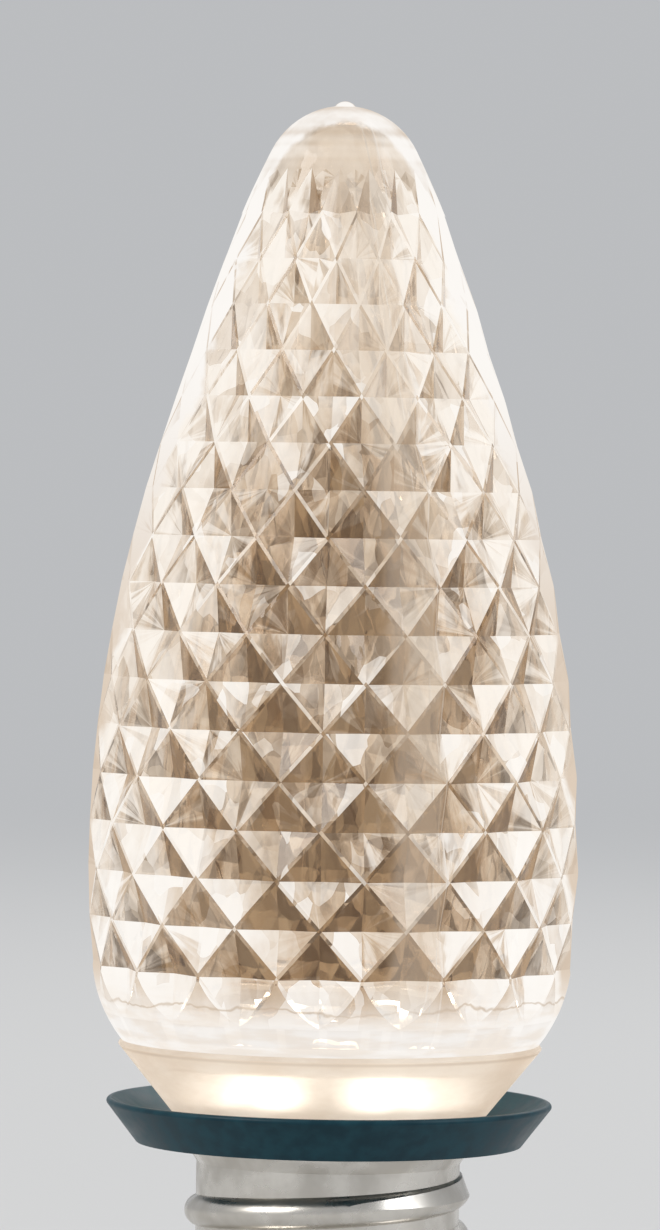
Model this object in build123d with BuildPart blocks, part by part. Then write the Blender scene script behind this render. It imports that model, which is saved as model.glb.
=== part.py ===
import os
from math import cos, pi, radians, sin

from build123d import *

os.makedirs("parts", exist_ok=True)

# A retrofit LED bulb with a clear faceted lens. It stands on its axis, tip up,
# and the lowest point of its tip contact is at the origin. Sizes are in millimetres.

# Lens outline: tangent arcs and one straight flank, with leans in degrees from upright
lens_radius = 14.3
nose_radius = 4.7
nose_lean = 26.2
shoulder_radius = 69.2
flank_lean = 18.1
belly_radius = 79.5
lower_radius = 44.5
lower_lean = 8.0
foot_curve_radius = 8.6
foot_lean = 38.0

# Lens wall, gate mark and spigot
lens_wall = 1.9
cavity_nose_radius = 2.5
cavity_foot_lean = 45.0
gate_radius = 0.75
gate_height = 0.26
spigot_step = 1.23
spigot_length = 0.9

# Facets: diamonds in rows at an equal step along the outline
diamond_count = 18
pit_rows = 17
row_pitch = 2.78
first_row = 2.1
pit_depth = 0.8
crest_inset = 0.03
end_ring_reach = 0.4

# Collar
collar_foot_radius = 8.7
collar_height = 4.7
collar_wall = 1.5
lip_radius = 12.3
lip_chamfer_height = 0.25
lip_rounding = 0.1
neck_wall = 1.2
neck_length = 11.9
board_seat_height = 0.9

# Seal ring
seal_radius = 13.13
seal_floor_radius = 11.2
seal_height = 2.5
seal_thickness = 0.9
seal_lip_thickness = 0.5
seal_rounding = 0.2
seal_recess_depth = 0.3
seal_recess_gap = 0.2

# Screw shell, intermediate size
thread_pitch = 2.82
thread_root_radius = 7.65
thread_crest_radius = 8.3
thread_ridge_radius = 0.95
thread_turns = 4.25
shell_wall = 0.3
shell_height = 16.0
shell_curl_height = 1.1
shell_mouth_radius = 6.5
shell_bead_radius = 8.1
shell_bead_height = 0.7

# Insulator, tip contact and its solder
insulator_nose_height = 2.9
insulator_nose_radius = 4.2
insulator_plug_height = 1.1
contact_radius = 3.4
contact_thickness = 0.5
contact_rounding = 0.35
eyelet_radius = 0.7
eyelet_bore_radius = 0.32
eyelet_height = 0.5
tip_solder_radius = 1.6
tip_solder_height = 0.6

# Circuit board with its parts
board_radius = 7.6
board_thickness = 1.0
led_count = 5
led_circle_radius = 5.4
led_length = 3.5
led_width = 2.8
led_height = 1.1
led_dish_radius = 1.15
led_dish_depth = 0.5
led_terminal_length = 0.35
led_terminal_height = 0.35
chip_length = 2.3
chip_width = 1.6
chip_height = 0.55
chip_cap_length = 0.45
chip_spacing = 2.6
rectifier_length = 4.7
rectifier_width = 3.9
rectifier_height = 2.4
rectifier_offset = -1.0
rectifier_lift = 0.1
rectifier_rounding = 0.15
leg_spacing = 2.54
leg_width = 0.65
leg_thickness = 0.22
leg_reach = 1.2

# Leads, their places on the board and the resistor in the neck
lead_radius = 0.25
sleeve_radius = 0.55
lead_spread = 72.0
shell_lead_offset = 5.2
dropper_offset = 3.6
dropper_radius = 1.15
dropper_length = 6.0
dropper_rounding = 0.4
dropper_lead_length = 1.6
lead_bend_radius = 1.2
board_solder_radius = 0.7
board_solder_height = 0.4
shell_solder_radius = 0.7
shell_solder_length = 0.5

# Clearance of parts that slip into each other
fit_gap = 0.05

# Heights, from the tip contact up
contact_z = tip_solder_height
insulator_z = contact_z + contact_thickness
shell_z = insulator_z + insulator_nose_height
shell_top_z = shell_z + shell_height
collar_z = shell_top_z + seal_thickness
board_z = collar_z + board_seat_height
board_top_z = board_z + board_thickness
lens_z = collar_z + collar_height
lip_z = lens_z - lip_chamfer_height
recess_z = lens_z - spigot_length - fit_gap
neck_z = collar_z - neck_length
insulator_top_z = shell_z + shell_curl_height + insulator_plug_height

# Radii that follow from the fits
shell_bore_radius = thread_root_radius - shell_wall
neck_radius = shell_bore_radius - fit_gap
neck_bore_radius = neck_radius - neck_wall

# The lens from its foot up to the widest place
foot_drop = foot_curve_radius * (sin(radians(foot_lean)) - sin(radians(lower_lean)))
widest_z = lens_z + lower_radius * sin(radians(lower_lean)) + foot_drop
foot_narrowing = foot_curve_radius * (cos(radians(lower_lean)) - cos(radians(foot_lean)))
lens_foot_radius = lens_radius - lower_radius * (1 - cos(radians(lower_lean))) - foot_narrowing
spigot_radius = lens_foot_radius - spigot_step


def lens_line(inset, tip_radius, end_lean):
    # Half of the lens wall's line, from the axis down, set in from the outer face.
    nose_turn = radians(nose_lean)
    flank_turn = radians(flank_lean)
    shoulder = shoulder_radius - inset
    belly = belly_radius - inset
    curved_width = (
        tip_radius * cos(nose_turn)
        + shoulder * (cos(flank_turn) - cos(nose_turn))
        + belly * (1 - cos(flank_turn))
    )
    flank = (lens_radius - inset - curved_width) / sin(flank_turn)
    height = (
        tip_radius * (1 - sin(nose_turn))
        + shoulder * (sin(nose_turn) - sin(flank_turn))
        + flank * cos(flank_turn)
        + belly * sin(flank_turn)
    )
    nose = JernArc((0, widest_z + height), (1, 0), tip_radius, nose_lean - 90)
    side = JernArc(nose @ 1, nose % 1, shoulder, flank_lean - nose_lean)
    straight = Line(side @ 1, side @ 1 + (side % 1) * flank)
    bulge = JernArc(straight @ 1, straight % 1, belly, -flank_lean)
    lower = JernArc(bulge @ 1, bulge % 1, lower_radius - inset, -lower_lean)
    foot = JernArc(lower @ 1, lower % 1, foot_curve_radius - inset, lower_lean - end_lean)
    return nose @ 0, foot @ 1


def ring_points(even_radius, odd_radius, height):
    # One ring of corners, which lie in turn on two radii. The first is at the front.
    step = pi / diamond_count
    corners = []
    for corner in range(2 * diamond_count):
        radius = odd_radius if corner % 2 else even_radius
        turn = corner * step - pi / 2
        corners.append(Vector(radius * cos(turn), radius * sin(turn), height))
    return corners


def facets_between(lower, upper, crest_is_even):
    # Two triangles in each cell of a band, split along the ridge that joins its crests.
    faces = []
    count = len(lower)
    for corner in range(count):
        after = (corner + 1) % count
        if (corner % 2 == 0) == crest_is_even:
            triangles = (
                (lower[corner], lower[after], upper[after]),
                (lower[corner], upper[after], upper[corner]),
            )
        else:
            triangles = (
                (lower[corner], lower[after], upper[corner]),
                (lower[after], upper[after], upper[corner]),
            )
        for triangle in triangles:
            faces.append(Face(Wire.make_polygon(triangle, close=True)))
    return faces


def beyond(pit, crest, height):
    # The radius at which the ridge from a pit through a crest reaches a height.
    pit_radius, pit_height = pit
    crest_radius, crest_height = crest
    slope = (crest_radius - pit_radius) / (crest_height - pit_height)
    return pit_radius + slope * (height - pit_height)


# The outer line of the lens, and the crest of each row of diamonds on it
with BuildLine() as outline:
    lens_line(0, nose_radius, foot_lean)
outline_wire = outline.wire()
outline_length = outline_wire.length
row_count = pit_rows + 2
crests = []
for row in range(row_count):
    along = outline_length - first_row - row * row_pitch
    place = outline_wire.position_at(along, PositionMode.LENGTH)
    crests.append((place.X - crest_inset, place.Y))

# The faceted form: rings of crests and pits that change places from row to row.
# The end rings lie outside the smooth lens, so that its foot and nose stay smooth.
lowest_z = crests[0][1] - end_ring_reach
highest_z = crests[-1][1] + end_ring_reach
lowest_pit = (crests[1][0] - pit_depth, crests[1][1])
highest_pit = (crests[-2][0] - pit_depth, crests[-2][1])
low_ring_radius = beyond(lowest_pit, crests[0], lowest_z)
high_ring_radius = beyond(highest_pit, crests[-1], highest_z)
rings = [ring_points(low_ring_radius, lens_radius, lowest_z)]
for row in range(1, row_count - 1):
    crest_radius, crest_z = crests[row]
    pit_radius = crest_radius - pit_depth
    if row % 2:
        rings.append(ring_points(pit_radius, crest_radius, crest_z))
    else:
        rings.append(ring_points(crest_radius, pit_radius, crest_z))
rings.append(ring_points(high_ring_radius, crests[-2][0], highest_z))

facets = []
for row in range(row_count - 1):
    facets += facets_between(rings[row], rings[row + 1], row % 2 == 0)
facets.append(Face(Wire.make_polygon(rings[0], close=True)))
facets.append(Face(Wire.make_polygon(rings[-1], close=True)))
facet_core = Solid(Shell(facets))

with BuildPart() as facet_form:
    add(facet_core)
    with BuildSketch(Plane.XY.offset(highest_z)):
        Circle(2 * lens_radius)
    extrude(amount=lens_radius)
    with BuildSketch(Plane.XY.offset(lowest_z)):
        Circle(2 * lens_radius)
    extrude(amount=-lens_radius)

# Lens: a smooth moulding, faceted between its foot and its nose, and hollow
with BuildPart() as lens:
    with BuildSketch(Plane.XZ):
        with BuildLine():
            tip, foot = lens_line(0, nose_radius, foot_lean)
            Polyline(
                foot,
                (spigot_radius, lens_z),
                (spigot_radius, lens_z - spigot_length),
                (0, lens_z - spigot_length),
                tip,
            )
        make_face()
    revolve(axis=Axis.Z)
    add(facet_form.part, mode=Mode.INTERSECT)
    with BuildSketch(Plane.XZ):
        with BuildLine():
            tip_inside, foot_inside = lens_line(lens_wall, cavity_nose_radius, cavity_foot_lean)
            Polyline(
                foot_inside,
                (foot_inside.X, lens_z - spigot_length),
                (0, lens_z - spigot_length),
                tip_inside,
            )
        make_face()
    revolve(axis=Axis.Z, mode=Mode.SUBTRACT)
    with Locations((0, 0, tip.Y + gate_height - gate_radius)):
        Sphere(gate_radius)
lens.part.label = "lens"
export_step(lens.part, "parts/lens.step")


def collar_radius(height):
    # Outer radius of the collar's cone at a height.
    share = (height - collar_z) / (lip_z - collar_z)
    return collar_foot_radius + share * (lip_radius - collar_foot_radius)


# Collar: an open cone with a lip, a recess for the lens, a ledge for the board and a neck
with BuildPart() as collar:
    with BuildSketch(Plane.XZ):
        with BuildLine():
            Polyline(
                (neck_bore_radius, neck_z),
                (neck_radius, neck_z),
                (neck_radius, collar_z),
                (collar_foot_radius, collar_z),
                (lip_radius, lip_z),
                (lens_foot_radius, lens_z),
                (spigot_radius + fit_gap, lens_z),
                (spigot_radius + fit_gap, recess_z),
                (collar_radius(recess_z) - collar_wall, recess_z),
                (collar_radius(board_z) - collar_wall, board_z),
                (neck_bore_radius, board_z),
                close=True,
            )
        make_face()
    revolve(axis=Axis.Z)
    lip_edge = collar.edges().filter_by(GeomType.CIRCLE).sort_by(SortBy.RADIUS)[-1]
    fillet(lip_edge, radius=lip_rounding)
collar.part.label = "collar"
export_step(collar.part, "parts/collar.step")

# Seal ring: a shallow dish, held between the collar's foot and the screw shell,
# with a recess below that keeps it central on the shell
seal_seat_z = shell_top_z - seal_recess_depth
seal_recess_radius = thread_crest_radius + seal_recess_gap
seal_top_z = seal_seat_z + seal_height

with BuildPart() as seal_ring:
    with BuildSketch(Plane.XZ):
        with BuildLine():
            Polyline(
                (neck_radius + fit_gap, shell_top_z),
                (seal_recess_radius, shell_top_z),
                (seal_recess_radius, seal_seat_z),
                (seal_floor_radius, seal_seat_z),
                (seal_radius, seal_top_z),
                (seal_radius - seal_lip_thickness, seal_top_z),
                (seal_floor_radius - seal_lip_thickness, collar_z),
                (neck_radius + fit_gap, collar_z),
                close=True,
            )
        make_face()
    revolve(axis=Axis.Z)
    rim_edges = seal_ring.edges().filter_by(GeomType.CIRCLE).group_by(Axis.Z)[-1]
    fillet(rim_edges, radius=seal_rounding)
seal_ring.part.label = "seal_ring"
export_step(seal_ring.part, "parts/seal_ring.step")

# Screw shell: a thin drawn tube with a rolled thread that runs out at both ends,
# a curl at the foot and a bead at the top
thread_length = thread_turns * thread_pitch
thread_start_z = shell_z + shell_curl_height + thread_pitch / 4
thread_end_z = thread_start_z + thread_length
ridge_center_radius = thread_crest_radius - thread_ridge_radius
ridge_inner_radius = thread_root_radius - shell_wall / 2
ridge_end_radius = thread_root_radius - shell_wall / 6
ridge_outer_radius = thread_crest_radius + shell_wall / 3

with BuildPart() as thread_envelope:
    with BuildSketch(Plane.XZ):
        with BuildLine():
            Polyline(
                (ridge_inner_radius, thread_start_z - thread_pitch / 4),
                (ridge_end_radius, thread_start_z - thread_pitch / 4),
                (ridge_outer_radius, thread_start_z + thread_pitch / 2),
                (ridge_outer_radius, thread_end_z - thread_pitch / 2),
                (ridge_end_radius, thread_end_z + thread_pitch / 4),
                (ridge_inner_radius, thread_end_z + thread_pitch / 4),
                close=True,
            )
        make_face()
    revolve(axis=Axis.Z)

with BuildPart() as thread_ridge:
    with BuildLine():
        ridge_line = Helix(
            pitch=thread_pitch,
            height=thread_length,
            radius=ridge_center_radius,
            center=(0, 0, thread_start_z),
        )
    with BuildSketch(Plane(origin=ridge_line @ 0, z_dir=ridge_line % 0)):
        Circle(thread_ridge_radius)
    sweep(path=ridge_line, is_frenet=True)
    add(thread_envelope.part, mode=Mode.INTERSECT)

with BuildPart() as screw_shell:
    with BuildSketch(Plane.XY.offset(shell_z + shell_curl_height)):
        Circle(thread_root_radius)
        Circle(shell_bore_radius, mode=Mode.SUBTRACT)
    extrude(amount=shell_height - shell_curl_height)
    add(thread_ridge.part)
    with BuildSketch(Plane.XZ):
        with BuildLine():
            Polyline(
                (shell_mouth_radius, shell_z),
                (thread_root_radius, shell_z + shell_curl_height),
                (shell_bore_radius, shell_z + shell_curl_height),
                (shell_mouth_radius - shell_wall, shell_z),
                close=True,
            )
        make_face()
        with BuildLine():
            Polyline(
                (ridge_inner_radius, shell_top_z - 2 * shell_bead_height),
                (thread_root_radius, shell_top_z - 2 * shell_bead_height),
                (shell_bead_radius, shell_top_z - shell_bead_height),
                (shell_bead_radius, shell_top_z),
                (ridge_inner_radius, shell_top_z),
                close=True,
            )
        make_face()
    revolve(axis=Axis.Z)
screw_shell.part.label = "screw_shell"
export_step(screw_shell.part, "parts/screw_shell.step")

# Insulator: a dark plug that the shell's end is rolled over, with a cone below it
with BuildPart() as base_insulator:
    with BuildSketch(Plane.XZ):
        with BuildLine():
            Polyline(
                (eyelet_radius, insulator_z),
                (insulator_nose_radius, insulator_z),
                (shell_mouth_radius - shell_wall, shell_z),
                (shell_bore_radius, shell_z + shell_curl_height),
                (shell_bore_radius, insulator_top_z),
                (eyelet_radius, insulator_top_z),
                close=True,
            )
        make_face()
    revolve(axis=Axis.Z)
base_insulator.part.label = "base_insulator"
export_step(base_insulator.part, "parts/base_insulator.step")

# Tip contact: a disc with an eyelet that passes up through the insulator
with BuildPart() as centre_contact:
    with BuildSketch(Plane.XZ):
        with BuildLine():
            Polyline(
                (eyelet_bore_radius, contact_z),
                (contact_radius, contact_z),
                (contact_radius, insulator_z),
                (eyelet_radius, insulator_z),
                (eyelet_radius, insulator_top_z + eyelet_height),
                (eyelet_bore_radius, insulator_top_z + eyelet_height),
                close=True,
            )
        make_face()
    revolve(axis=Axis.Z)
    rim_edge = centre_contact.edges().group_by(Axis.Z)[0].sort_by(SortBy.RADIUS)[-1]
    fillet(rim_edge, radius=contact_rounding)
centre_contact.part.label = "centre_contact"
export_step(centre_contact.part, "parts/centre_contact.step")

# Solder on the tip: a low dome
with BuildPart() as contact_solder:
    with BuildSketch(Plane.XZ):
        with BuildLine():
            dome = ThreePointArc(
                (-tip_solder_radius, contact_z), (0, 0), (tip_solder_radius, contact_z)
            )
            Line(dome @ 1, dome @ 0)
        make_face()
        split(bisect_by=Plane.YZ)
    revolve(axis=Axis.Z)
contact_solder.part.label = "contact_solder"
export_step(contact_solder.part, "parts/contact_solder.step")

# Where the two leads pass the board, seen from above, with the front at -90 degrees
shell_lead_turn = -90 - lead_spread
dropper_turn = -90 + lead_spread


def upright_plane(turn):
    # An upright plane through the axis, with its x direction outwards at a turn.
    outwards = (cos(radians(turn)), sin(radians(turn)), 0)
    across = (sin(radians(turn)), -cos(radians(turn)), 0)
    return Plane(origin=(0, 0, 0), x_dir=outwards, z_dir=across)


def lead_places():
    # The two holes of the board.
    return [
        (
            offset * cos(radians(turn)),
            offset * sin(radians(turn)),
        )
        for offset, turn in ((shell_lead_offset, shell_lead_turn), (dropper_offset, dropper_turn))
    ]


# Circuit board
with BuildPart() as circuit_board:
    with BuildSketch(Plane.XY.offset(board_z)):
        Circle(board_radius)
        with Locations(*lead_places()):
            Circle(lead_radius + fit_gap, mode=Mode.SUBTRACT)
    extrude(amount=board_thickness)
circuit_board.part.label = "circuit_board"
export_step(circuit_board.part, "parts/circuit_board.step")

# Solder where the leads come through the board
with BuildPart() as board_solder:
    with BuildSketch(Plane.XY.offset(board_top_z)):
        with Locations(*lead_places()):
            Circle(board_solder_radius)
    extrude(amount=board_solder_height, taper=30)
board_solder.part.label = "board_solder"
export_step(board_solder.part, "parts/board_solder.step")

# LED packages: bodies with a round dish, filled with phosphor, between tinned ends
led_start_turn = -90 + 180 / led_count
led_body_length = led_length - 2 * led_terminal_length
led_top_z = board_top_z + led_height

with BuildPart() as led_bodies:
    with BuildSketch(Plane.XY.offset(board_top_z)):
        with PolarLocations(led_circle_radius, led_count, start_angle=led_start_turn):
            Rectangle(led_body_length, led_width)
    extrude(amount=led_height)
    with BuildSketch(Plane.XY.offset(led_top_z)):
        with PolarLocations(led_circle_radius, led_count, start_angle=led_start_turn):
            Circle(led_dish_radius)
    extrude(amount=-led_dish_depth, mode=Mode.SUBTRACT)
led_bodies.part.label = "led_bodies"
export_step(led_bodies.part, "parts/led_bodies.step")

with BuildPart() as led_phosphors:
    with BuildSketch(Plane.XY.offset(led_top_z - led_dish_depth)):
        with PolarLocations(led_circle_radius, led_count, start_angle=led_start_turn):
            Circle(led_dish_radius)
    extrude(amount=led_dish_depth)
led_phosphors.part.label = "led_phosphors"
export_step(led_phosphors.part, "parts/led_phosphors.step")

with BuildPart() as led_terminals:
    with BuildSketch(Plane.XY.offset(board_top_z)):
        with PolarLocations(led_circle_radius, led_count, start_angle=led_start_turn):
            with GridLocations(led_length - led_terminal_length, 0, 2, 1):
                Rectangle(led_terminal_length, led_width / 2)
    extrude(amount=led_terminal_height)
led_terminals.part.label = "led_terminals"
export_step(led_terminals.part, "parts/led_terminals.step")

# Chip resistors in the middle of the board
with BuildPart() as chip_resistors:
    with BuildSketch(Plane.XY.offset(board_top_z)):
        with GridLocations(0, chip_spacing, 1, 2):
            Rectangle(chip_length, chip_width)
    extrude(amount=chip_height)
chip_resistors.part.label = "chip_resistors"
export_step(chip_resistors.part, "parts/chip_resistors.step")

with BuildPart() as chip_resistor_caps:
    with BuildSketch(Plane.XY.offset(board_top_z)):
        with GridLocations(chip_length + chip_cap_length, chip_spacing, 2, 2):
            Rectangle(chip_cap_length, chip_width)
    extrude(amount=chip_height)
chip_resistor_caps.part.label = "chip_resistor_caps"
export_step(chip_resistor_caps.part, "parts/chip_resistor_caps.step")

# Rectifier under the board, on four bent legs
rectifier_top_z = board_z - rectifier_lift
rectifier_middle_z = rectifier_top_z - rectifier_height / 2

with BuildPart() as rectifier_body:
    with BuildSketch(Plane.XY.offset(rectifier_top_z)):
        with Locations((rectifier_offset, 0)):
            Rectangle(rectifier_length, rectifier_width)
    extrude(amount=-rectifier_height)
    fillet(rectifier_body.edges().filter_by(Axis.Z), radius=rectifier_rounding)
rectifier_body.part.label = "rectifier_body"
export_step(rectifier_body.part, "parts/rectifier_body.step")

leg_root = rectifier_width / 2
leg_knee = leg_root + leg_reach / 2
leg_end = leg_root + leg_reach

with BuildPart() as rectifier_legs:
    with BuildSketch(Plane.YZ.offset(rectifier_offset - (leg_spacing + leg_width) / 2)):
        with BuildLine():
            Polyline(
                (leg_root, rectifier_middle_z),
                (leg_knee + leg_thickness, rectifier_middle_z),
                (leg_knee + leg_thickness, board_z - leg_thickness),
                (leg_end, board_z - leg_thickness),
                (leg_end, board_z),
                (leg_knee, board_z),
                (leg_knee, rectifier_middle_z + leg_thickness),
                (leg_root, rectifier_middle_z + leg_thickness),
                close=True,
            )
        make_face()
        mirror(about=Plane.YZ)
    extrude(amount=leg_width)
    mirror(about=Plane.YZ.offset(rectifier_offset))
rectifier_legs.part.label = "rectifier_legs"
export_step(rectifier_legs.part, "parts/rectifier_legs.step")

# Dropper resistor, upright in the neck, with straight leads
dropper_plane = upright_plane(dropper_turn)
dropper_top_z = neck_z + neck_length / 2 + dropper_length / 2
dropper_foot_z = dropper_top_z - dropper_length
lead_joint_z = dropper_foot_z - dropper_lead_length
dropper_place = dropper_plane.from_local_coords((dropper_offset, 0, 0))

with BuildPart() as dropper_resistor:
    with BuildSketch(Plane(origin=dropper_place).offset(dropper_foot_z)):
        Circle(dropper_radius)
    extrude(amount=dropper_length)
    fillet(dropper_resistor.edges().filter_by(GeomType.CIRCLE), radius=dropper_rounding)
dropper_resistor.part.label = "dropper_resistor"
export_step(dropper_resistor.part, "parts/dropper_resistor.step")

with BuildPart() as dropper_leads:
    with BuildSketch(Plane(origin=dropper_place).offset(lead_joint_z)):
        Circle(lead_radius)
    extrude(amount=dropper_lead_length)
    with BuildSketch(Plane(origin=dropper_place).offset(dropper_top_z)):
        Circle(lead_radius)
    extrude(amount=board_top_z - dropper_top_z)
dropper_leads.part.label = "dropper_leads"
export_step(dropper_leads.part, "parts/dropper_leads.step")


def contact_route(start_z):
    # From the tip contact up the axis and across to the dropper's lower lead.
    bend_z = insulator_top_z + eyelet_height + 2 * lead_radius
    return FilletPolyline(
        (0, start_z),
        (0, bend_z),
        (dropper_offset, (bend_z + lead_joint_z) / 2),
        (dropper_offset, lead_joint_z),
        radius=lead_bend_radius / 2,
    )


def shell_route(end_offset, end_z):
    # From the board down the neck, past its end and out to the shell.
    turn_z = (neck_z + insulator_top_z) / 2
    return FilletPolyline(
        (shell_lead_offset, board_top_z),
        (shell_lead_offset, turn_z),
        (end_offset, end_z),
        radius=lead_bend_radius,
    )


shell_lead_plane = upright_plane(shell_lead_turn)
shell_lead_end = shell_bore_radius - shell_solder_length
shell_lead_place = shell_lead_plane.from_local_coords((shell_lead_offset, 0, 0))
shell_joint_z = insulator_top_z + shell_solder_radius

# Lead to the tip contact
with BuildPart() as contact_wire:
    with BuildLine(dropper_plane):
        contact_path = contact_route(contact_z)
    with BuildSketch(Plane(origin=contact_path @ 0, z_dir=contact_path % 0)):
        Circle(lead_radius)
    sweep(path=contact_path)
contact_wire.part.label = "contact_wire"
export_step(contact_wire.part, "parts/contact_wire.step")

with BuildPart() as contact_sleeve:
    with BuildLine(dropper_plane):
        sleeve_path = contact_route(insulator_top_z + eyelet_height)
    with BuildSketch(Plane(origin=sleeve_path @ 0, z_dir=sleeve_path % 0)):
        Circle(sleeve_radius)
        Circle(lead_radius, mode=Mode.SUBTRACT)
    sweep(path=sleeve_path)
contact_sleeve.part.label = "contact_sleeve"
export_step(contact_sleeve.part, "parts/contact_sleeve.step")

# Lead to the screw shell
with BuildPart() as shell_wire:
    with BuildLine(shell_lead_plane):
        shell_path = shell_route(shell_lead_end, shell_joint_z)
    with BuildSketch(Plane(origin=shell_path @ 0, z_dir=shell_path % 0)):
        Circle(lead_radius)
    sweep(path=shell_path)
shell_wire.part.label = "shell_wire"
export_step(shell_wire.part, "parts/shell_wire.step")

with BuildPart() as shell_sleeve:
    with BuildSketch(Plane(origin=shell_lead_place).offset(board_z)):
        Circle(sleeve_radius)
        Circle(lead_radius, mode=Mode.SUBTRACT)
    extrude(amount=neck_z - board_z)
shell_sleeve.part.label = "shell_sleeve"
export_step(shell_sleeve.part, "parts/shell_sleeve.step")

# Solder that joins the side lead to the shell's bore
with BuildPart() as shell_solder:
    with BuildSketch(Plane(origin=shell_path @ 1, z_dir=shell_lead_plane.x_dir)):
        Circle(shell_solder_radius)
    extrude(amount=2 * shell_solder_length)
    with BuildSketch(Plane.XY.offset(insulator_top_z)):
        Circle(shell_bore_radius)
    extrude(amount=4 * shell_solder_radius, mode=Mode.INTERSECT)
    add(shell_wire.part, mode=Mode.SUBTRACT)
shell_solder.part.label = "shell_solder"
export_step(shell_solder.part, "parts/shell_solder.step")
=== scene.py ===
import math
import random

import bmesh
import bpy
from mathutils import Matrix, Vector


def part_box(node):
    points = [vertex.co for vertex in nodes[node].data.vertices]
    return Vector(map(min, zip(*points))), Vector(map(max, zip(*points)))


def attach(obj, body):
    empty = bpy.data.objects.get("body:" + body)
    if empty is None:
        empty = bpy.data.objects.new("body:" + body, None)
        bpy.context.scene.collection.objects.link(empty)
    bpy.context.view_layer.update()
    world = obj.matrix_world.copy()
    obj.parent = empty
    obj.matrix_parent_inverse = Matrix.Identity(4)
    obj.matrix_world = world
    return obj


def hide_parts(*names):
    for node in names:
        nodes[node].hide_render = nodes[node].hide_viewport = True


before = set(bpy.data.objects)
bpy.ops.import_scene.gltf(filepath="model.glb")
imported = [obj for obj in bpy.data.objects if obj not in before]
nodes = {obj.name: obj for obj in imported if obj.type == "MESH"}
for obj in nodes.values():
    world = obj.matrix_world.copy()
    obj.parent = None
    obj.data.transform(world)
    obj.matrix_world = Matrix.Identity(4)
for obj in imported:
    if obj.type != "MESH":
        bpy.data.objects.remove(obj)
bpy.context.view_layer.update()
mm = 0.001
print("frame loaded:", len(nodes), "nodes")


# Camera

photoView = {
    "distance": 400 * mm,
    "height": 58.33 * mm,
    "turn": 2.8,  # degrees round from the front of the lens
    "aimHeight": 50.32 * mm,
    "aimAcross": -0.405 * mm,
    "roll": 0.935,  # degrees
    "lens": 202.0,
    "nearest": 0.01,
    "farthest": 20,
}


def placeCamera(view):
    turn = math.radians(view["turn"])
    across = Vector((math.cos(turn), math.sin(turn), 0))
    place = Vector((math.sin(turn), -math.cos(turn), 0)) * view["distance"]
    place.z = view["height"]
    aim = across * view["aimAcross"]
    aim.z = view["aimHeight"]
    forward = (aim - place).normalized()
    right = forward.cross(Vector((0, 0, 1))).normalized()
    above = right.cross(forward)
    roll = math.radians(view["roll"])
    axisX = math.cos(roll) * right + math.sin(roll) * above
    axisY = math.cos(roll) * above - math.sin(roll) * right
    data = bpy.data.cameras.new("photoCamera")
    data.lens = view["lens"]
    data.clip_start = view["nearest"]
    data.clip_end = view["farthest"]
    camera = bpy.data.objects.new("photoCamera", data)
    bpy.context.scene.collection.objects.link(camera)
    turned = Matrix((axisX, axisY, -forward)).transposed()
    camera.matrix_world = Matrix.Translation(place) @ turned.to_4x4()
    bpy.context.scene.camera = camera


placeCamera(photoView)
print("camera")


# Shader wiring: sums on sockets, and one way to make any other node

class Signal:
    def __init__(self, finish, socket):
        self.finish = finish
        self.socket = socket

    def __add__(self, other):
        return self.finish.maths("ADD", self, other)

    __radd__ = __add__

    def __sub__(self, other):
        return self.finish.maths("SUBTRACT", self, other)

    def __rsub__(self, other):
        return self.finish.maths("SUBTRACT", other, self)

    def __mul__(self, other):
        return self.finish.maths("MULTIPLY", self, other)

    __rmul__ = __mul__

    def __abs__(self):
        return self.finish.maths("ABSOLUTE", self)


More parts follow.
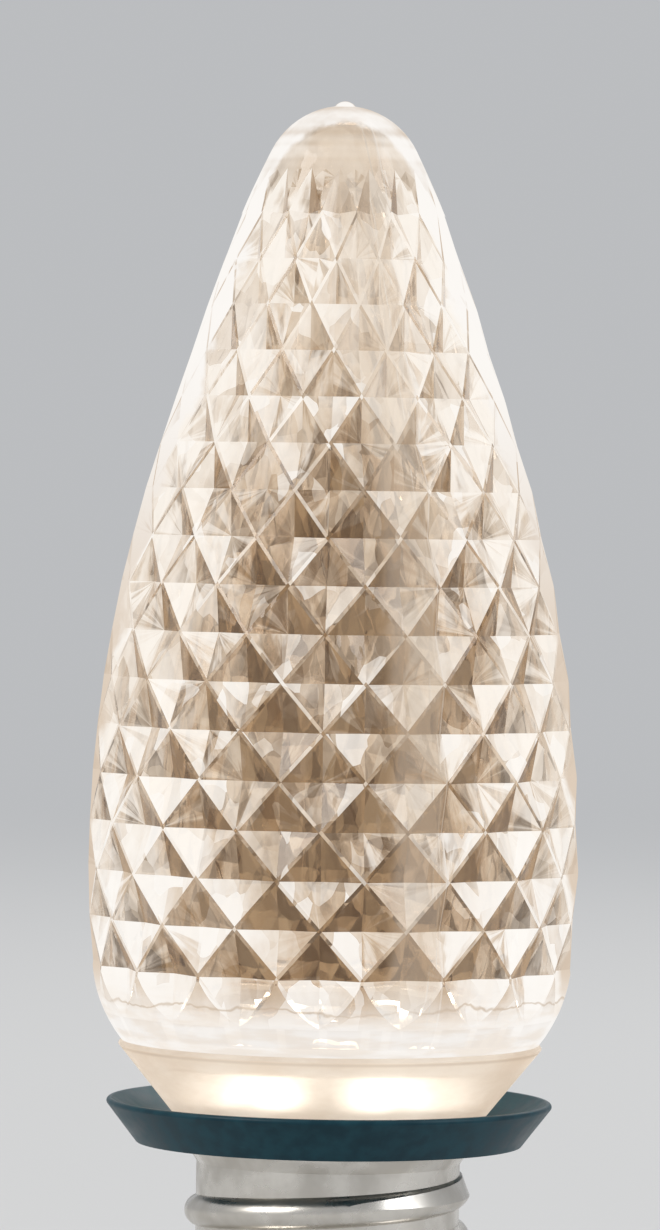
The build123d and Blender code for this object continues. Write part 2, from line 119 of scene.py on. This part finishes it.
class Finish:
    def __init__(self, name, holder=None):
        self.holder = holder or bpy.data.materials.new(name)
        self.holder.use_nodes = True
        self.tree = self.holder.node_tree
        self.tree.nodes.clear()

    def node(self, kind, settings=None, values=None, output=0):
        made = self.tree.nodes.new(kind)
        for name, value in (settings or {}).items():
            setattr(made, name, value)
        for name, value in (values or {}).items():
            target = made.inputs[name]
            if isinstance(value, Signal):
                self.tree.links.new(value.socket, target)
            elif target.type == "RGBA":
                target.default_value = (*value, 1)
            else:
                target.default_value = value
        return Signal(self, made.outputs[output])

    def maths(self, operation, *values):
        return self.node("ShaderNodeMath", {"operation": operation}, dict(enumerate(values)))

    def vector(self, operation, *values, output=0):
        return self.node("ShaderNodeVectorMath", {"operation": operation}, dict(enumerate(values)), output)

    def mix(self, share, first, second):
        return self.node("ShaderNodeMix", {"data_type": "RGBA"}, {0: share, 6: first, 7: second}, 2)

    def ramp(self, share, low, high, start=0.0, end=1.0):
        values = {"Value": share, "From Min": low, "From Max": high, "To Min": start, "To Max": end}
        return self.node("ShaderNodeMapRange", {"interpolation_type": "SMOOTHSTEP"}, values)

    def place(self):
        return self.node("ShaderNodeTexCoord", output="Object")

    def part(self, vector, axis):
        return self.node("ShaderNodeSeparateXYZ", {}, {"Vector": vector}, axis)

    def joined(self, x, y, z):
        return self.node("ShaderNodeCombineXYZ", {}, {0: x, 1: y, 2: z})

    def radius(self, place):
        return self.vector("LENGTH", self.vector("MULTIPLY", place, (1, 1, 0)), output="Value")

    def noise(self, look):
        stretch = look.get("stretch", (1, 1, 1))
        where = self.node("ShaderNodeMapping", {}, {"Vector": self.place(), "Scale": stretch})
        values = {"Vector": where, "Scale": look["scale"], "Detail": look["detail"]}
        return self.node("ShaderNodeTexNoise", {}, values)

    def cells(self, vector, scale):
        colour = self.node("ShaderNodeTexVoronoi", {}, {"Vector": vector, "Scale": scale}, "Color")
        return self.part(colour, 0)

    def attribute(self, name, output="Fac"):
        return self.node("ShaderNodeAttribute", {"attribute_name": name}, output=output)

    def facing(self, values=None):
        return self.node("ShaderNodeLayerWeight", {}, {"Blend": 0.5, **(values or {})}, "Facing")

    def bump(self, height, strength, distance):
        values = {"Height": height, "Strength": strength, "Distance": distance}
        return self.node("ShaderNodeBump", {}, values)

    def shader(self, values):
        return self.node("ShaderNodeBsdfPrincipled", {}, values)

    def light(self, colour):
        return self.node("ShaderNodeEmission", {}, {"Color": colour, "Strength": 1.0})

    def clear(self, tint):
        return self.node("ShaderNodeBsdfTransparent", {}, {"Color": tint})

    def blend(self, share, first, second):
        return self.node("ShaderNodeMixShader", {}, {0: share, 1: first, 2: second})

    def ray(self, kind):
        return self.node("ShaderNodeLightPath", output=kind)

    def end(self, shader, kind="ShaderNodeOutputMaterial"):
        last = self.tree.nodes.new(kind)
        self.tree.links.new(shader.socket, last.inputs["Surface"])
        return self.holder


# Stage: a round pale floor that fades into an even background, and soft lamps

stage = {
    "floorRadius": 8.0,
    "floorSegments": 96,
    "fadeStart": 0.25,
    "fadeEnd": 0.9,
    "floorColour": (0.60, 0.605, 0.61),
    "floorRoughness": 0.9,
    "floorShine": 0.1,
    "backColour": (0.50, 0.51, 0.525),
    "roomStrength": 0.55,
}


def seenDirectly(finish):
    seen = finish.ray("Is Camera Ray")
    for kind in ("Is Glossy Ray", "Is Transmission Ray"):
        seen = finish.maths("MAXIMUM", seen, finish.ray(kind))
    return seen


def floorFinish(look):
    finish = Finish("studioFloor")
    radius = finish.vector("LENGTH", finish.place(), output="Value")
    far = finish.ramp(radius, look["fadeStart"], look["fadeEnd"]) * seenDirectly(finish)
    near = finish.shader({
        "Base Color": look["floorColour"],
        "Roughness": look["floorRoughness"],
        "Specular IOR Level": look["floorShine"],
    })
    above = finish.blend(far, near, finish.light(look["backColour"]))
    under = finish.node("ShaderNodeNewGeometry", output="Backfacing")  # seen from below, it is clear
    return finish.end(finish.blend(under, above, finish.clear((1, 1, 1))))


def makeFloor(look):
    mesh = bmesh.new()
    bmesh.ops.create_circle(mesh, cap_ends=True, segments=look["floorSegments"], radius=look["floorRadius"])
    data = bpy.data.meshes.new("studioFloor")
    mesh.to_mesh(data)
    mesh.free()
    data.materials.append(floorFinish(look))
    floor = bpy.data.objects.new("studioFloor", data)
    bpy.context.scene.collection.objects.link(floor)


def makeRoom(look):
    world = bpy.data.worlds.new("studioRoom")
    bpy.context.scene.world = world
    finish = Finish("studioRoom", world)
    strength = look["roomStrength"]
    light = finish.node("ShaderNodeBackground", {}, {"Color": (1, 1, 1), "Strength": strength})
    even = finish.node("ShaderNodeBackground", {}, {"Color": look["backColour"], "Strength": 1.0})
    finish.end(finish.blend(seenDirectly(finish), light, even), "ShaderNodeOutputWorld")


lamps = {
    "leftSoftbox": {
        "place": (-0.55, -0.45, 0.5),
        "size": (0.5, 0.5),
        "watts": 4.0,
        "colour": (1, 0.98, 0.95),
    },
    "rightSoftbox": {
        "place": (0.6, -0.2, 0.35),
        "size": (0.35, 0.6),
        "watts": 1.9,
        "colour": (0.95, 0.97, 1),
    },
    "backSoftbox": {
        "place": (0.1, 0.65, 0.6),
        "size": (0.6, 0.4),
        "watts": 2.0,
        "colour": (1, 1, 1),
    },
}
lampAim = (0, 0, 45 * mm)


def makeLamp(name, look):
    data = bpy.data.lights.new(name, "AREA")
    data.shape = "RECTANGLE"
    data.size, data.size_y = look["size"]
    data.energy = look["watts"]
    data.color = look["colour"]
    lamp = bpy.data.objects.new(name, data)
    lamp.location = look["place"]
    toBulb = Vector(lampAim) - lamp.location
    lamp.rotation_euler = toBulb.to_track_quat("-Z", "Y").to_euler()
    bpy.context.scene.collection.objects.link(lamp)


makeFloor(stage)
makeRoom(stage)
for name, look in lamps.items():
    makeLamp(name, look)
print("stage and lamps")


# Lens: the moulding with flat facets, softened ridges and a tone for each facet.
# A tone runs from 0, a dark facet, to 1, a bright one: painted shade to painted light,
# as from the lit chips below, with a random part for each facet.

lensShape = {
    "mergeWithin": 1e-7,
    "flatBelow": 0.002,  # radians between faces of one facet
    "facetArea": 0.35 * mm * mm,
    "ridgeAngle": 14,  # degrees
    "ridgeWidth": 0.11 * mm,
    "ridgeTones": (0.24, 0.42, 0.62, 0.88),
    "seed": 11,
    "outlineLean": 0.25,  # how much more the facets near the nose look up
    # Painted light and shade: facets that look up take the light tones, as lit by the chips below; low and
    # high brighten them towards the foot and towards the nose
    "upFacets": {"base": 0.50, "chance": 0.38, "low": 0.55, "high": 0.15},
    "downFacets": {"base": 0.11, "chance": 0.34, "low": 0.0, "high": 0.42},
    # Painted shade darkens the facets between the lit chips
    "chipCount": 5,  # the lit chips on the board, with darker facets between them
    "chipShade": 0.07,
    "chipTurn": -54,  # degrees
    "noseStart": 0.86,  # as a share of the height
    "noseBlend": 0.08,
    "noseTone": 0.34,
    # Painted light: the smooth faces of the foot, near the chips, take a light tone
    "footTone": 0.75,
}


def outward(face):
    centre = face.calc_center_median()
    return centre.x * face.normal.x + centre.y * face.normal.y > 0


def paintedToneOf(look, face, share, chance):
    centre = face.calc_center_median()
    # Painted light and shade: facets leaning up are lit from the chips below, the others shaded
    lean = face.normal.z - look["outlineLean"] * share
    side = look["upFacets"] if lean > 0 else look["downFacets"]
    value = side["base"] + side["chance"] * chance
    value = value + side["low"] * (1 - share) ** 3 + side["high"] * share ** 2
    # Painted shade between the lit chips, most in the low rows
    turn = math.atan2(centre.y, centre.x) - math.radians(look["chipTurn"])
    value -= look["chipShade"] * (1 - math.cos(look["chipCount"] * turn)) * (1 - share)
    nose = min(max((share - look["noseStart"]) / look["noseBlend"], 0.0), 1.0)
    value += (look["noseTone"] - value) * nose
    return min(max(value, 0.0), 1.0)


def makeLens(look):
    mesh = bmesh.new()
    mesh.from_mesh(nodes["lens"].data)
    tone = mesh.faces.layers.float.new("facetPaintedTone")
    wall = mesh.faces.layers.float.new("outerWall")
    fan = mesh.faces.layers.float_vector.new("fanPlace")
    bmesh.ops.remove_doubles(mesh, verts=mesh.verts, dist=look["mergeWithin"])
    mesh.normal_update()
    outer = {face for face in mesh.faces if outward(face)}
    flat = [
        edge for edge in mesh.edges
        if len(edge.link_faces) == 2
        and edge.calc_face_angle() < look["flatBelow"]
        and all(face in outer for face in edge.link_faces)
    ]
    bmesh.ops.dissolve_edges(mesh, edges=flat, use_verts=False)
    facets = {face for face in mesh.faces if face.calc_area() > look["facetArea"] and outward(face)}
    ridges = [
        edge for edge in mesh.edges
        if len(edge.link_faces) == 2
        and edge.calc_face_angle_signed() > math.radians(look["ridgeAngle"])
        and all(face in facets for face in edge.link_faces)
    ]
    print("facets:", len(facets), "ridges:", len(ridges))

    foot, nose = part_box("lens")
    height = nose.z - foot.z
    rng = random.Random(look["seed"])
    for face in sorted(facets, key=lambda f: f.calc_center_median().to_tuple(5)):
        share = (face.calc_center_median().z - foot.z) / height
        face[tone] = paintedToneOf(look, face, share, rng.random())
        face[wall] = 1.0
        face[fan] = rng.choice(list(face.verts)).co
    for face in mesh.faces:
        if face in facets:
            continue
        share = (face.calc_center_median().z - foot.z) / height
        face[tone] = look["noseTone"] if share > 0.5 else look["footTone"]
        face[wall] = 1.0 if outward(face) else 0.0
        face.smooth = True
    made = bmesh.ops.bevel(
        mesh, geom=ridges, offset=look["ridgeWidth"], offset_type="OFFSET", affect="EDGES",
        segments=1, profile=0.5, material=-1, clamp_overlap=True,
    )
    # The ridge strips take tones at random: painted light and shade along the ridges
    for face in made["faces"]:
        face[tone] = rng.choice(look["ridgeTones"])
        face[wall] = 1.0
        face.smooth = False

    data = bpy.data.meshes.new("facetedLens")
    mesh.to_mesh(data)
    mesh.free()
    lens = bpy.data.objects.new("facetedLens", data)
    bpy.context.scene.collection.objects.link(lens)
    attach(lens, "root")
    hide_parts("lens")
    return lens


lensLook = {
    "ior": 1.49,
    "roughness": 0.02,
    "shadowTint": (0.9, 0.87, 0.82),
    "shadedTint": (0.19, 0.105, 0.045),
    "paleTint": (0.93, 0.81, 0.67),
    "midGlow": (0.60, 0.43, 0.275),
    "brightGlow": (0.99, 0.935, 0.865),
    "lowGlow": (1.0, 0.97, 0.93),
    "lowHeights": (42 * mm, 33 * mm),
    "glowTones": (0.28, 0.95),
    "glowShare": 0.84,

    "cloud": {"scale": 420, "detail": 3, "stretch": (1, 1, 0.35), "depth": 0.6},
    "grain": {"scale": 1500, "detail": 2, "stretch": (1, 1, 0.6), "depth": 0.2},
    "chanceStep": 97,  # gives each facet a chance of its own from its tone
    "streakCount": 2.4,
    "streakSpread": (60, 300),
    "streakNoise": {"Scale": 1.0, "Detail": 3.0, "Roughness": 0.6},
    "streakEdges": (0.40, 0.60),
    "streakChance": (0.2, 0.9),
    "streakDepth": 0.42,
    "warpScale": 350,
    "warp": (0.0015, 0.0015, 0.0015),
    "shardStretch": (1, 1, 0.55),
    "shardScale": 780,
    "shardChance": (0.9, 0.2),
    "shardDepth": 0.42,
    "turnTones": (0.3, 0.6),
    "turnDepth": (1.3, 0.5),
    "centreReach": 0.3,
    "centreShade": 0.22,
    "shadeHeights": (68 * mm, 56 * mm),
    "paleHeights": (44 * mm, 66 * mm),
    "paleRise": 0.14,
    "glint": (1.0, 0.975, 0.94),
    "glintCover": 0.55,
    "glintShare": 0.92,
    "glintShards": (0.85, 0.89),
    "glintTones": (0.45, 0.6),

    "flankHeights": (45 * mm, 70 * mm),
    "flankSlope": 0.33,
    "noseCentre": 74 * mm,
    "rimHeights": (38 * mm, 75 * mm),
    "rimEdges": (0.87, 0.49),
    "rimSoftness": 0.05,
    "rimGrain": 0.12,
    "rimGlow": (0.975, 0.945, 0.91),
    "rimLow": (0.73, 0.61, 0.495),
    "rimShade": (0.64, 0.52, 0.41),
    "rimTones": (0.2, 0.8),
    "rimShare": 0.98,

    "seamTurn": -60.4,  # degrees
    "seamWidth": 0.09 * mm,
    "seamCover": 0.5,
    "seamShare": 0.6,
    "seamRaise": 3,
    "washStart": (-0.2 * mm, 0.3 * mm),
    "washEnd": (3.6 * mm, 2.52 * mm),
    "washGlow": (0.76, 0.67, 0.57),
    "washCover": 0.6,
    "washShare": 0.5,

    "footHeights": (30.2 * mm, 26.8 * mm),
    "footLayers": {"scale": 260, "detail": 3, "stretch": (1, 1, 5)},
    "footTones": (0.36, 0.60),
    "footGlow": (0.92, 0.855, 0.785),
    "footBright": (0.985, 0.96, 0.93),
    "footShare": 0.88,
    "beadHeight": 28.35 * mm,
    "beadWave": 2.0 * mm,
    "beadWaves": {"scale": 170, "detail": 4},
    "beadJags": {"scale": 900, "detail": 2, "depth": 0.3},
    "beadMiddle": 0.65,
    "beadGaps": {"scale": 75, "detail": 1},
    "beadWidth": 0.11 * mm,
    "beadBreaks": (0.40, 0.56),
    "beadGlow": (0.55, 0.43, 0.32),
    "beadCover": 0.7,
    "beadShare": 0.7,

    "innerGlow": (0.96, 0.87, 0.75),
    "innerScale": 480,
    "innerTones": (0.45, 0.9),
    "innerShare": (0.02, 0.45),
    "fineRipple": {"scale": 900, "detail": 1, "stretch": (1, 1, 0.5)},
    "broadRipple": {"scale": 260, "detail": 1, "depth": 1.5},
    "rippleHeight": 0.045 * mm,
    "rippleStrength": 0.5,
}


def smoothFacing(finish, look, place, height):
    # How far the smooth form under the facets turns away, 0 in the middle to 1 at the outline
    flank = finish.ramp(height, *look["flankHeights"], 0.0, look["flankSlope"]) * finish.radius(place)
    lift = finish.maths("MAXIMUM", flank, height - look["noseCentre"])
    smooth = finish.vector("NORMALIZE", finish.joined(finish.part(place, 0), finish.part(place, 1), lift))
    return finish.facing({"Normal": smooth})


def fanStreaks(finish, look, place, height, tone, chance):
    # Painted streaks of light and shade that spread from one corner of each facet
    away = finish.vector("SUBTRACT", place, finish.attribute("fanPlace", "Vector"))
    around = finish.vector("NORMALIZE", finish.vector("CROSS_PRODUCT", (0, 0, 1), place))
    sideways = finish.vector("DOT_PRODUCT", away, around, output="Value")
    angle = finish.maths("ARCTAN2", finish.part(away, 2), sideways)
    perFacet, perHeight = look["streakSpread"]
    spread = finish.joined(angle * look["streakCount"], tone * perFacet, height * perHeight)
    streak = finish.node("ShaderNodeTexNoise", {}, {"Vector": spread, **look["streakNoise"]})
    crisp = finish.ramp(streak, *look["streakEdges"]) - 0.5
    return crisp * finish.ramp(chance, *look["streakChance"]) * look["streakDepth"]


def bentPlace(finish, look, place):
    # A place bent by noise, as by the moulding's ripple, for painted shards of broken refracted light
    values = {"Vector": place, "Scale": look["warpScale"], "Detail": 1}
    warp = finish.node("ShaderNodeTexNoise", {}, values, "Color")
    bent = finish.vector("MULTIPLY_ADD", warp, look["warp"], place)
    return finish.node("ShaderNodeMapping", {}, {"Vector": bent, "Scale": look["shardStretch"]})


def seamAndWash(finish, look, place):
    # The mould seam, and a strip beside it for painted glow
    turn = math.radians(look["seamTurn"])
    across = (math.sin(turn), -math.cos(turn), 0)
    beside = finish.vector("DOT_PRODUCT", place, across, output="Value")
    seam = finish.ramp(abs(beside), look["seamWidth"], 0.0)
    glowStrip = finish.ramp(beside, *look["washStart"]) * finish.ramp(beside, *look["washEnd"])
    return seam, glowStrip


def beadLine(finish, look, height):
    # The wavy, broken line above the foot
    jags = finish.noise(look["beadJags"]) * look["beadJags"]["depth"]
    wave = finish.noise(look["beadWaves"]) + jags - look["beadMiddle"]
    away = abs(height - look["beadHeight"] - wave * look["beadWave"])
    unbroken = finish.ramp(finish.noise(look["beadGaps"]), *look["beadBreaks"])
    return finish.ramp(away, look["beadWidth"], 0.0) * unbroken


def litGlass(finish, share, glass, glow, shadowTint):
    # Glass with a painted glow in its own share, which lets light through to what it shades
    lit = finish.blend(share, glass, finish.light(glow))
    made = finish.end(finish.blend(finish.ray("Is Shadow Ray"), lit, finish.clear(shadowTint)))
    made.cycles.emission_sampling = "NONE"
    return made


def clearPlastic(look):
    finish = Finish("clearLens")
    place = finish.place()
    height = finish.part(place, 2)
    outerWall = finish.attribute("outerWall")
    facetPaintedTone = finish.attribute("facetPaintedTone")
    chance = finish.maths("FRACT", facetPaintedTone * look["chanceStep"])
    cloud = (finish.noise(look["cloud"]) - 0.5) * look["cloud"]["depth"]
    grain = finish.noise(look["grain"]) - 0.5

    # Tone: the facet's painted light and shade, broken up by painted streaks and shards,
    # painted shade by facing and down the middle, painted light higher up, and random cloud and grain
    facing = smoothFacing(finish, look, place, height)
    ownFacing = finish.facing()
    # Painted light and shade by how a facet faces the view against the smooth form under it
    turned = (facing - ownFacing) * finish.ramp(facetPaintedTone, *look["turnTones"], *look["turnDepth"])
    # Painted shade down the middle of the view, fading out towards the nose
    middle = finish.ramp(facing, look["centreReach"], 0.0, 0.0, look["centreShade"])
    turned = turned - middle * finish.ramp(height, *look["shadeHeights"])
    streaks = fanStreaks(finish, look, place, height, facetPaintedTone, chance)
    bent = bentPlace(finish, look, place)
    shard = finish.cells(bent, look["shardScale"])
    # Painted shards of refracted light and shade, on some facets
    shards = (shard - 0.5) * look["shardDepth"] * finish.ramp(chance, *look["shardChance"])
    # Painted light: lighter towards the nose
    higherLight = finish.ramp(height, *look["paleHeights"], 0.0, look["paleRise"])
    tone = facetPaintedTone + streaks + shards + turned + higherLight + cloud + grain * look["grain"]["depth"]

    # The tone paints shade into the glass tint and light into the glow, whiter towards the foot near the
    # chips
    tint = finish.mix(tone, look["shadedTint"], look["paleTint"])
    bright = finish.mix(finish.ramp(height, *look["lowHeights"]), look["brightGlow"], look["lowGlow"])
    glow = finish.mix(tone, look["midGlow"], bright)
    share = finish.ramp(tone, *look["glowTones"], 0.0, look["glowShare"])

    # Painted light: a pale glowing edge along the outline, where the thick wall is seen edge-on, duller on
    # dark tones
    edge = facing - finish.ramp(height, *look["rimHeights"], *look["rimEdges"])
    rim = finish.ramp(edge + grain * look["rimGrain"], -look["rimSoftness"], look["rimSoftness"])
    rimGlow = finish.mix(finish.ramp(height, *look["paleHeights"]), look["rimLow"], look["rimGlow"])
    rimGlow = finish.mix(finish.ramp(tone, *look["rimTones"]), look["rimShade"], rimGlow)

    # Painted glints on light facets, where the shards are brightest
    glint = finish.ramp(shard, *look["glintShards"]) * finish.ramp(facetPaintedTone, *look["glintTones"])
    seam, glowStrip = seamAndWash(finish, look, place)
    # Painted glow on the foot band near the chips, in soft layers
    foot = finish.ramp(height, *look["footHeights"])
    layers = finish.ramp(finish.noise(look["footLayers"]), *look["footTones"])
    footGlow = finish.mix(layers, look["footGlow"], look["footBright"])
    # Painted light over the glow: glints, a glowing strip by the seam, the seam's pale line, the pale edge
    # and the foot; the seam itself is raised by the bump, and the bead line is the adhesive's own colour
    for mask, colour, ownShare in (
        (glint * look["glintCover"], look["glint"], look["glintShare"]),
        (glowStrip * look["washCover"], look["washGlow"], look["washShare"]),
        (seam * look["seamCover"], look["rimGlow"], look["seamShare"]),
        (rim, rimGlow, look["rimShare"]),
        (foot, footGlow, look["footShare"]),
        (beadLine(finish, look, height) * look["beadCover"], look["beadGlow"], look["beadShare"]),
    ):
        glow = finish.mix(mask, glow, colour)
        share = share * (1 - mask) + mask * ownShare

    # Painted glow on the inner wall, in patches
    patch = finish.ramp(finish.cells(bent, look["innerScale"]), *look["innerTones"], *look["innerShare"])
    share = share * outerWall + (1 - outerWall) * patch
    glow = finish.mix(outerWall, look["innerGlow"], glow)

    broad = finish.noise(look["broadRipple"]) * look["broadRipple"]["depth"]
    ripple = finish.noise(look["fineRipple"]) + broad + seam * look["seamRaise"]
    glass = finish.shader({
        "Base Color": finish.mix(outerWall, look["paleTint"], tint),
        "Transmission Weight": 1.0,
        "Roughness": look["roughness"],
        "IOR": look["ior"],
        "Normal": finish.bump(ripple, look["rippleStrength"], look["rippleHeight"]),
    })
    return litGlass(finish, share, glass, glow, look["shadowTint"])


lens = makeLens(lensShape)
lens.data.materials.append(clearPlastic(lensLook))
print("lens")


# Collar: the same plastic, frosted, with a painted glow for the light of the chips on the board inside

collarLook = {
    "ior": 1.49,
    "roughness": 0.5,
    "tint": (0.93, 0.89, 0.82),
    "shadowTint": (0.9, 0.87, 0.82),
    "glow": (0.70, 0.56, 0.44),
    "hotGlow": (0.93, 0.84, 0.74),
    "glowShare": 0.42,
    "cloud": {"scale": 160, "detail": 3, "stretch": (1, 1, 2)},
    "grain": {"scale": 1400, "detail": 2, "stretch": (1, 1, 3), "depth": 0.25},
    "cloudTones": (0.4, 0.85),
    "cloudDepth": 0.8,
    "lineHeight": 25.2 * mm,
    "lineWidth": 0.16 * mm,
    "lineDepth": 0.8,
    "lineGlow": (0.42, 0.31, 0.22),
}


def collarPlastic(look):
    finish = Finish("clearCollar")
    # Painted glow, brighter in random clouds, with a darker line along the top edge
    cloud = finish.noise(look["cloud"]) + finish.noise(look["grain"]) * look["grain"]["depth"]
    cloudy = finish.ramp(cloud, *look["cloudTones"]) * look["cloudDepth"]
    glow = finish.mix(cloudy, look["glow"], look["hotGlow"])
    away = abs(finish.part(finish.place(), 2) - look["lineHeight"])
    glow = finish.mix(finish.ramp(away, look["lineWidth"], 0.0) * look["lineDepth"], glow, look["lineGlow"])
    glass = finish.shader({
        "Base Color": look["tint"],
        "Transmission Weight": 1.0,
        "Roughness": look["roughness"],
        "IOR": look["ior"],
    })
    return litGlass(finish, look["glowShare"], glass, glow, look["shadowTint"])


# Finishes of the carried-over parts: two colours and a range of roughness, mixed by a fine grain,
# and a painted glow on the chip bodies

tinned = {
    "colours": ((0.70, 0.70, 0.71), (0.58, 0.58, 0.60)),
    "rough": (0.2, 0.4),
    "metal": 1.0,
}
solder = {
    "colours": ((0.60, 0.60, 0.61), (0.44, 0.44, 0.46)),
    "rough": (0.25, 0.5),
    "grain": 1200,
    "metal": 1.0,
}
copper = {
    "colours": ((0.80, 0.45, 0.28), (0.66, 0.36, 0.22)),
    "rough": (0.25, 0.4),
    "metal": 1.0,
}
sleeving = {
    "colours": ((0.70, 0.68, 0.62), (0.60, 0.58, 0.53)),
    "rough": (0.4, 0.55),
}

finishes = {
    "seal_ring": {
        "colours": ((0.003, 0.028, 0.042), (0.007, 0.046, 0.064)),
        "rough": (0.32, 0.45),
        "shine": 0.2,
    },
    "screw_shell": {
        "colours": ((0.72, 0.69, 0.64), (0.58, 0.55, 0.50)),
        "rough": (0.2, 0.38),
        "grain": 500,
        "metal": 1.0,
    },
    "base_insulator": {
        "colours": ((0.010, 0.010, 0.012), (0.018, 0.017, 0.019)),
        "rough": (0.12, 0.3),
        "grain": 700,
    },
    "centre_contact": {
        "colours": ((0.80, 0.62, 0.34), (0.62, 0.47, 0.26)),
        "rough": (0.22, 0.42),
        "metal": 1.0,
    },
    "circuit_board": {
        "colours": ((0.78, 0.77, 0.73), (0.66, 0.65, 0.62)),
        "rough": (0.35, 0.5),
        "grain": 500,
    },
    "led_bodies": {
        "colours": ((0.82, 0.81, 0.78), (0.74, 0.73, 0.70)),
        "rough": (0.4, 0.55),
        # Painted glow on the chip bodies, standing in for the light of their chips
        "glow": (1.0, 0.94, 0.87),
        "strength": 15.0,
        "glowReach": (7.5 * mm, 6.6 * mm),  # the glow ends at these radii
        "glowCore": (4.4 * mm, 5.6 * mm),  # and starts at these
    },
    "chip_resistors": {
        "colours": ((0.015, 0.015, 0.016), (0.03, 0.03, 0.032)),
        "rough": (0.3, 0.5),
    },
    "rectifier_body": {
        "colours": ((0.015, 0.015, 0.016), (0.03, 0.03, 0.032)),
        "rough": (0.4, 0.6),
    },
    "dropper_resistor": {
        "colours": ((0.58, 0.44, 0.28), (0.50, 0.37, 0.23)),
        "rough": (0.3, 0.45),
    },
    "led_terminals": tinned,
    "chip_resistor_caps": tinned,
    "rectifier_legs": tinned,
    "dropper_leads": tinned,
    "contact_solder": solder,
    "shell_solder": solder,
    "board_solder": solder,
    "contact_wire": copper,
    "shell_wire": copper,
    "contact_sleeve": sleeving,
    "shell_sleeve": sleeving,
}
grainLook = {
    "scale": 900,
    "detail": 3,
    "colourTones": (0.3, 0.7),
    "roughTones": (0.25, 0.75),
    "bumpStrength": 0.15,
    "bumpHeight": 0.02 * mm,
}


def plainFinish(name, look, grainy):
    finish = Finish(name)
    grain = finish.noise({"scale": look.get("grain", grainy["scale"]), "detail": grainy["detail"]})
    glow = look.get("glow", (0, 0, 0))
    # Painted glow, held to a ring round the board, as on the chip bodies
    if "glowReach" in look:
        radius = finish.radius(finish.place())
        reach = finish.ramp(radius, *look["glowReach"]) * finish.ramp(radius, *look["glowCore"])
        glow = finish.mix(reach, (0, 0, 0), glow)
    return finish.end(finish.shader({
        "Base Color": finish.mix(finish.ramp(grain, *grainy["colourTones"]), *look["colours"]),
        "Roughness": finish.ramp(grain, *grainy["roughTones"], *look["rough"]),
        "Metallic": look.get("metal", 0.0),
        "Specular IOR Level": look.get("shine", 0.5),
        "Emission Color": glow,
        "Emission Strength": look.get("strength", 0.0),
        "Normal": finish.bump(grain, grainy["bumpStrength"], grainy["bumpHeight"]),
    }))


phosphorLook = {
    "colour": (0.9, 0.72, 0.3),
    "roughness": 0.6,
    "cloud": {"scale": 700, "detail": 2},
    "cloudTones": (0.3, 0.7),
    "glows": ((1.0, 0.88, 0.72), (1.0, 0.92, 0.80)),
    "strength": 6.0,
}


def phosphor(look):
    finish = Finish("litPhosphor")
    cloud = finish.ramp(finish.noise(look["cloud"]), *look["cloudTones"])
    return finish.end(finish.shader({
        "Base Color": look["colour"],
        "Roughness": look["roughness"],
        "Emission Color": finish.mix(cloud, *look["glows"]),
        "Emission Strength": look["strength"],
    }))


def cover(node, material):
    data = nodes[node].data
    data.materials.clear()
    data.materials.append(material)


cover("collar", collarPlastic(collarLook))
cover("led_phosphors", phosphor(phosphorLook))
for node, look in finishes.items():
    cover(node, plainFinish(node.replace("_", " ").title().replace(" ", ""), look, grainLook))
print("finishes")


scene = bpy.context.scene
scene.view_settings.view_transform = "Standard"
scene.cycles.max_bounces = 10
scene.cycles.transmission_bounces = 10
scene.cycles.diffuse_bounces = 2
scene.cycles.glossy_bounces = 4
scene.cycles.sample_clamp_indirect = 6
